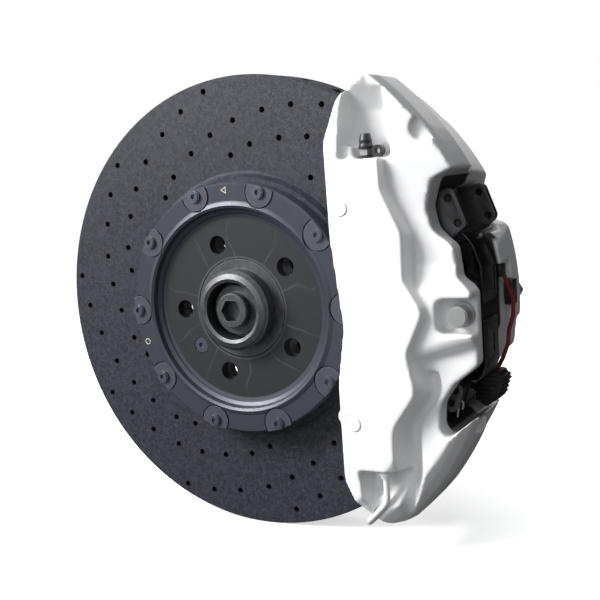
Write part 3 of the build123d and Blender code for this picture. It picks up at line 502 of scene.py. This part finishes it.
def paint_cad():
    """Gives every carried-over node its finish."""
    looks = {
        "ceramic": ceramic_material(),
        "bell_coating": bell_material(),
        "washer_steel": finish_material("washer_steel", (0.085, 0.092, 0.11), (0.5, 0.52, 0.58), 0.38, 0.5,
                                        width=0.4, wear=0.8, spread=0.08),
        "bolt_steel": finish_material("bolt_steel", (0.16, 0.175, 0.22), (0.7, 0.73, 0.8), 0.3, 0.9,
                                      width=0.3, wear=0.8, spread=0.1),
        "hub_steel": hub_material(),
        "bearing_steel": finish_material("bearing_steel", (0.5, 0.5, 0.52), (0.7, 0.7, 0.7), 0.25, 1.0),
        "cage_plastic": finish_material("cage_plastic", (0.6, 0.55, 0.42), (0.7, 0.66, 0.5), 0.5),
        "black_rubber": finish_material("black_rubber", (0.02, 0.02, 0.021), (0.07, 0.07, 0.07), 0.42,
                                        wear=0.3, bump=0.02),
        "white_paint": paint_material(),
        "bright_steel": finish_material("bright_steel", (0.42, 0.42, 0.42), (0.8, 0.8, 0.8), 0.34, 0.6,
                                        width=0.5, wear=0.8, spread=0.12),
        "piston_aluminium": finish_material("piston_aluminium", (0.5, 0.5, 0.51), (0.7, 0.7, 0.7), 0.3, 1.0),
        "plate_black": plate_material(),
        "lining": finish_material("lining", (0.07, 0.065, 0.06), (0.1, 0.1, 0.1), 0.8, grain_scale=700.0,
                                  spread=0.5, bump=0.12, wear=0.2),
        "spring_black": finish_material("spring_black", (0.01, 0.01, 0.011), (0.6, 0.6, 0.6), 0.3, 0.5,
                                        width=0.7, wear=0.9, break_up=0.2, spread=0.06),
        "black_plastic": finish_material("black_plastic", (0.014, 0.014, 0.015), (0.1, 0.1, 0.1), 0.4,
                                         wear=0.4, spread=0.06),
        "lead_red": finish_material("lead_red", (0.26, 0.008, 0.01), (0.4, 0.03, 0.03), 0.25, spread=0.1,
                                    coat=0.6),
    }
    for entry in frame["record"]["subparts"]:
        data = NODES[entry["node"]].data
        data.materials.clear()
        data.materials.append(looks[entry["material_slot"]])
    return looks


# ------------------------------------------------------------------ modelling helpers
def deselect():
    bpy.ops.object.select_all(action="DESELECT")


def make_active(piece):
    deselect()
    piece.select_set(True)
    bpy.context.view_layer.objects.active = piece


def apply_modifier(piece, kind, **settings):
    """Adds a modifier with its settings and applies it."""
    make_active(piece)
    modifier = piece.modifiers.new(kind.lower(), kind)
    for name, value in settings.items():
        setattr(modifier, name, value)
    bpy.ops.object.modifier_apply(modifier=modifier.name)


def merged_copy(node, name):
    """A new piece with the node's shape, its loose triangles joined into one surface."""
    piece = bpy.data.objects.new(name, NODES[node].data.copy())
    bpy.context.scene.collection.objects.link(piece)
    make_active(piece)
    bpy.ops.object.mode_set(mode="EDIT")
    bpy.ops.mesh.select_all(action="SELECT")
    bpy.ops.mesh.remove_doubles(threshold=0.001 * MM)
    bpy.ops.object.mode_set(mode="OBJECT")
    if piece.data.attributes.get("custom_normal"):
        bpy.ops.mesh.customdata_custom_splitnormals_clear()
    return piece


def settle(piece, body, slot_name, looks, *replaced):
    """Gives a finished piece its body and its finish, and hides the nodes that it stands for."""
    piece.data.materials.clear()
    piece.data.materials.append(looks[slot_name])
    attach(piece, body)
    if replaced:
        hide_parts(*replaced)
    return piece


def clear_pad_well(piece, degrees):
    """Cuts the pad's straight-sided well clean again, so that the plates have room to slide."""
    angle = math.radians(degrees)
    length, width, depth = WELL_SIZE
    deselect()
    bpy.ops.mesh.primitive_cube_add(
        size=1.0, rotation=(0.0, -angle, 0.0),
        location=(WELL_MIDDLE_U * math.cos(angle), WELL_MIDDLE_Y, WELL_MIDDLE_U * math.sin(angle)))
    cutter = bpy.context.object
    cutter.scale = (length, depth, width)
    apply_modifier(piece, "BOOLEAN", operation="DIFFERENCE", solver="EXACT", object=cutter)
    bpy.data.objects.remove(cutter)


def caliper_skin(looks):
    """The cast and painted body: the machined shape with every edge and valley rounded."""
    piece = merged_copy("caliper_body", "caliper_casting")
    apply_modifier(piece, "REMESH", mode="VOXEL", voxel_size=1.55 * MM, adaptivity=0.0)
    apply_modifier(piece, "SMOOTH", factor=0.5, iterations=6)
    apply_modifier(piece, "DISPLACE", strength=-0.2 * MM, mid_level=0.0)
    apply_modifier(piece, "DECIMATE", ratio=0.6)
    for degrees in (PAD_DEG, -PAD_DEG):
        clear_pad_well(piece, degrees)
    make_active(piece)
    bpy.ops.object.shade_smooth()
    return settle(piece, "caliper", "white_paint", looks, "caliper_body")


def edged_copies(looks):
    """The black sheet and plate parts again, with the small rounded edges that catch the light."""
    slots = {entry["node"]: entry["material_slot"] for entry in frame["record"]["subparts"]}
    for body, nodes in frame["record"]["behaviour"]["bodies"].items():
        for node in nodes:
            if node not in EDGED:
                continue
            piece = merged_copy(node, node + "_rounded")
            bpy.ops.object.mode_set(mode="EDIT")
            bpy.ops.mesh.select_all(action="SELECT")
            bpy.ops.mesh.dissolve_limited(angle_limit=math.radians(0.5))
            bpy.ops.object.mode_set(mode="OBJECT")
            apply_modifier(piece, "BEVEL", width=EDGED[node] * MM, segments=2, limit_method="ANGLE",
                           angle_limit=math.radians(40.0), use_clamp_overlap=False)
            make_active(piece)
            bpy.ops.object.shade_smooth_by_angle(angle=math.radians(45.0))
            settle(piece, body, slots[node], looks, node)


def cut_slice(piece, low, high):
    """Keeps only what lies between two heights, with both cuts closed."""
    make_active(piece)
    bpy.ops.object.mode_set(mode="EDIT")
    for height, side in ((low, "clear_inner"), (high, "clear_outer")):
        bpy.ops.mesh.select_all(action="SELECT")
        bpy.ops.mesh.bisect(plane_co=(0.0, 0.0, height), plane_no=(0.0, 0.0, 1.0), use_fill=True,
                            **{side: True})
    bpy.ops.mesh.select_all(action="SELECT")


def lead_plug(looks):
    """The plug at the end of the wear lead, with raised ribs round its housing."""
    plug = merged_copy("wear_connector", "lead_plug")
    apply_modifier(plug, "BEVEL", width=1.0 * MM, segments=3, limit_method="ANGLE",
                   angle_limit=math.radians(40.0), use_clamp_overlap=False)
    low, high = (Vector(corner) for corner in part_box("wear_connector"))
    middle = (low + high) / 2.0
    ribs = []
    for step in range(PLUG_RIBS):
        rib = merged_copy("wear_connector", f"plug_rib_{step}")
        top = high.z - (3.5 + 3.6 * step) * MM
        cut_slice(rib, top - 1.5 * MM, top)
        bpy.ops.transform.resize(value=(1.09, 1.05, 1.0), center_override=(middle.x, high.y, top))
        bpy.ops.object.mode_set(mode="OBJECT")
        apply_modifier(rib, "BEVEL", width=0.3 * MM, segments=2, limit_method="ANGLE",
                       angle_limit=math.radians(40.0), use_clamp_overlap=False)
        ribs.append(rib)
    make_active(plug)
    for rib in ribs:
        rib.select_set(True)
    bpy.ops.object.join()
    bpy.ops.object.shade_smooth_by_angle(angle=math.radians(40.0))
    settle(plug, "caliper", "black_plastic", looks, "wear_connector")


def window_wire(looks):
    """The small hooked wire that stands in the lower window."""
    deselect()
    bpy.ops.curve.primitive_nurbs_path_add(location=(0.0, 0.0, 0.0))
    piece = bpy.context.object
    piece.name = "window_wire"
    spline = piece.data.splines[0]
    spline.points.add(len(WIRE_ROUTE) - len(spline.points))
    for point, place in zip(spline.points, WIRE_ROUTE):
        point.co = (*(value * MM for value in place), 1.0)
    spline.order_u = 3
    spline.use_endpoint_u = True
    spline.resolution_u = 8
    piece.data.bevel_depth = 0.75 * MM
    piece.data.bevel_resolution = 3
    piece.data.use_fill_caps = True
    make_active(piece)
    bpy.ops.object.convert(target="MESH")
    bpy.ops.object.shade_smooth()
    settle(piece, "caliper", "bright_steel", looks)


def flange_marks(looks):
    """Two plain marks on the clamping flange: the outline of an arrowhead and a ring."""
    for name, sides, radius, degrees, turn in FLANGE_MARKS:
        angle = math.radians(degrees)
        deselect()
        bpy.ops.mesh.primitive_circle_add(
            vertices=sides, radius=radius * MM, fill_type="NGON", rotation=(math.pi / 2.0, turn, 0.0),
            location=(MARK_PCR * math.cos(angle), FLANGE_FACE_Y, MARK_PCR * math.sin(angle)))
        piece = bpy.context.object
        piece.name = name
        bpy.ops.object.mode_set(mode="EDIT")
        bpy.ops.mesh.select_all(action="SELECT")
        bpy.ops.mesh.inset(thickness=0.6 * MM)
        bpy.ops.mesh.delete(type="FACE")
        bpy.ops.object.mode_set(mode="OBJECT")
        bpy.ops.object.transform_apply(location=True, rotation=True, scale=True)
        apply_modifier(piece, "SOLIDIFY", thickness=0.3 * MM, offset=0.0)
        settle(piece, "rotor", "cage_plastic", looks)


# ------------------------------------------------------------------ the object
set_camera()
set_stage()
LOOKS = paint_cad()
caliper_skin(LOOKS)
edged_copies(LOOKS)
lead_plug(LOOKS)
window_wire(LOOKS)
flange_marks(LOOKS)
